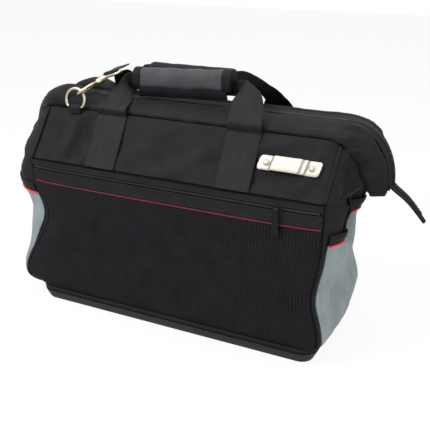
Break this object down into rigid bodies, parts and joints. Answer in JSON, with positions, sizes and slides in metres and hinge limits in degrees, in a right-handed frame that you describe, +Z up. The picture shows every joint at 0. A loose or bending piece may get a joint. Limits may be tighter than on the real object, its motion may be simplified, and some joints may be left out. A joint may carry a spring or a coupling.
{
  "type": "zippered tool bag",
  "caption": "Soft zippered tool bag with a hinged wire mouth, moulded base tray, end pockets, mesh front pocket, carry handles and a shoulder strap on spring hooks.",
  "frame": {"origin": "on the floor under the middle of the base tray", "axes": "+X along the bag to its right end, +Y towards its back, +Z up"},
  "size_m": [0.5796, 0.2611, 0.3407],
  "materials": {
    "moulded_tray": "moulded, fine grain",
    "stiffener_board": "pressed fibre board",
    "black_polyester": "woven polyester",
    "black_binding": "folded binding tape",
    "grey_polyester": "woven polyester",
    "black_mesh": "knitted mesh",
    "black_webbing": "ribbed webbing",
    "grip_padding": "padded cloth",
    "frame_steel": "drawn",
    "nickel_plate": "polished, pale",
    "zip_metal": "gloss black enamel"
  },
  "bodies": {
    "bag": {"base_tray": "moulded_tray", "base_board": "stiffener_board", "tray_welt": "black_binding", "front_left_piping": "black_binding", "front_right_piping": "black_binding", "rear_left_piping": "black_binding", "rear_right_piping": "black_binding", "left_pocket_band": "black_binding", "right_pocket_band": "black_binding", "front_panel": "black_polyester", "rear_panel": "black_polyester", "left_end_panel": "black_polyester", "right_end_panel": "black_polyester", "pocket_zip_band": "black_polyester", "pocket_zip_header": "black_polyester", "left_end_pocket": "grey_polyester", "right_end_pocket": "grey_polyester", "pocket_mesh": "black_mesh", "shoulder_strap_rear": "black_webbing", "left_pivot_rivet": "frame_steel", "right_pivot_rivet": "frame_steel"},
    "mouth_front": {"front_mouth_frame": "frame_steel", "front_mouth_sleeve": "black_polyester", "front_zip_tape": "black_binding", "front_ring_tab": "black_webbing", "front_left_gusset": "black_polyester", "front_right_gusset": "black_polyester", "mouth_zip_tail": "black_binding", "shoulder_strap_front": "black_webbing"},
    "front_flap": {"front_upper_panel": "black_polyester", "front_left_handle_tail": "black_webbing", "front_right_handle_tail": "black_webbing", "clip_plate": "nickel_plate", "clip_plate_left_rivet": "nickel_plate", "clip_plate_right_rivet": "nickel_plate"},
    "handle_front": {"front_handle_webbing": "black_webbing", "grip_wrap": "grip_padding"},
    "front_strap_ring": {"front_ring": "nickel_plate", "front_snap_eye": "nickel_plate"},
    "front_snap": {"front_snap_hook": "nickel_plate"},
    "front_gate": {"front_snap_gate": "nickel_plate"},
    "mouth_rear": {"rear_mouth_frame": "frame_steel", "rear_mouth_sleeve": "black_polyester", "rear_zip_tape": "black_binding", "rear_ring_tab": "black_webbing", "rear_left_gusset": "black_polyester", "rear_right_gusset": "black_polyester"},
    "rear_flap": {"rear_upper_panel": "black_polyester", "rear_left_handle_tail": "black_webbing", "rear_right_handle_tail": "black_webbing"},
    "handle_rear": {"rear_handle_webbing": "black_webbing", "rear_handle_sleeve": "black_webbing"},
    "rear_strap_ring": {"rear_ring": "nickel_plate", "rear_snap_eye": "nickel_plate"},
    "rear_snap": {"rear_snap_hook": "nickel_plate"},
    "rear_gate": {"rear_snap_gate": "nickel_plate"},
    "mouth_slide": {"mouth_slider": "zip_metal"},
    "mouth_pull": {"mouth_puller": "zip_metal"},
    "pocket_slide": {"pocket_slider": "zip_metal"},
    "pocket_pull": {"pocket_puller": "zip_metal"}
  },
  "joints": [
    {"name": "mouth_front_hinge", "type": "hinge", "parent": "bag", "child": "mouth_front", "pos_m": [0, 0, 0.213], "axis": [1, 0, 0], "range_deg": [0, 38], "deforming": ["front_upper_panel", "front_left_handle_tail", "front_right_handle_tail", "front_left_gusset", "front_right_gusset", "mouth_zip_tail", "shoulder_strap_front", "shoulder_strap_rear"]},
    {"name": "front_flap_fold", "type": "hinge", "parent": "mouth_front", "child": "front_flap", "pos_m": [0, -0.16351, 0.27204], "axis": [1, 0, 0], "range_deg": [0, 39.8], "deforming": ["front_upper_panel", "front_left_handle_tail", "front_right_handle_tail"]},
    {"name": "handle_front_fold", "type": "hinge", "parent": "mouth_front", "child": "handle_front", "pos_m": [0, -0.05779, 0.27817], "axis": [1, 0, 0], "range_deg": [0, 110]},
    {"name": "front_ring_swing", "type": "hinge", "parent": "mouth_front", "child": "front_strap_ring", "pos_m": [-0.158, -0.05902, 0.2841], "axis": [1, 0, 0], "range_deg": [-8, 8], "deforming": ["shoulder_strap_front", "shoulder_strap_rear"]},
    {"name": "front_snap_swivel", "type": "hinge", "parent": "front_strap_ring", "child": "front_snap", "pos_m": [-0.14969, -0.06043, 0.30309], "axis": [0.2562, 0.9118, 0.3208], "range_deg": [-15, 3]},
    {"name": "front_gate_spring", "type": "hinge", "parent": "front_snap", "child": "front_gate", "pos_m": [-0.1463, -0.02666, 0.31038], "axis": [-0.598, -0.1113, 0.7937], "range_deg": [0, 18], "stiffness_Nm_per_rad": 0.02},
    {"name": "mouth_rear_hinge", "type": "hinge", "parent": "bag", "child": "mouth_rear", "pos_m": [0, 0, 0.213], "axis": [-1, 0, 0], "range_deg": [0, 38], "deforming": ["rear_upper_panel", "rear_left_handle_tail", "rear_right_handle_tail", "rear_left_gusset", "rear_right_gusset", "mouth_zip_tail", "shoulder_strap_front", "shoulder_strap_rear"]},
    {"name": "rear_flap_fold", "type": "hinge", "parent": "mouth_rear", "child": "rear_flap", "pos_m": [0, 0.16351, 0.27204], "axis": [-1, 0, 0], "range_deg": [0, 39.8], "deforming": ["rear_upper_panel", "rear_left_handle_tail", "rear_right_handle_tail"]},
    {"name": "handle_rear_fold", "type": "hinge", "parent": "mouth_rear", "child": "handle_rear", "pos_m": [0, 0.05779, 0.27817], "axis": [-1, 0, 0], "range_deg": [0, 110]},
    {"name": "rear_ring_swing", "type": "hinge", "parent": "mouth_rear", "child": "rear_strap_ring", "pos_m": [0.158, 0.06762, 0.26956], "axis": [1, 0, 0], "range_deg": [0, 65], "deforming": ["shoulder_strap_front", "shoulder_strap_rear"]},
    {"name": "rear_snap_swivel", "type": "hinge", "parent": "rear_strap_ring", "child": "rear_snap", "pos_m": [0.15463, 0.08319, 0.25882], "axis": [-0.0646, 0.6247, -0.7782], "range_deg": [-15, 1.5]},
    {"name": "rear_gate_spring", "type": "hinge", "parent": "rear_snap", "child": "rear_gate", "pos_m": [0.14853, 0.09975, 0.22892], "axis": [-0.8274, 0.4024, 0.3917], "range_deg": [0, 18], "stiffness_Nm_per_rad": 0.02},
    {"name": "mouth_zip_travel", "type": "slide", "parent": "mouth_front", "child": "mouth_slide", "axis": [1, 0, 0], "range_m": [-0.24, 0.115]},
    {"name": "mouth_puller_flip", "type": "hinge", "parent": "mouth_slide", "child": "mouth_pull", "pos_m": [0.066, 0, 0.2968], "axis": [0, -1, 0], "range_deg": [0, 90]},
    {"name": "pocket_zip_travel", "type": "slide", "parent": "bag", "child": "pocket_slide", "axis": [-1, 0, 0], "range_m": [0, 0.31]},
    {"name": "pocket_puller_flip", "type": "hinge", "parent": "pocket_slide", "child": "pocket_pull", "pos_m": [0.156, -0.10439, 0.203], "axis": [-1, 0, 0], "range_deg": [0, 100]}
  ],
  "couplings": [
    {"joint": "front_flap_fold", "follows": "mouth_front_hinge", "ratio": 1.0427},
    {"joint": "rear_flap_fold", "follows": "mouth_rear_hinge", "ratio": 1.0427},
    {"joint": "rear_ring_swing", "follows": "mouth_rear_hinge", "ratio": 1.7}
  ]
}
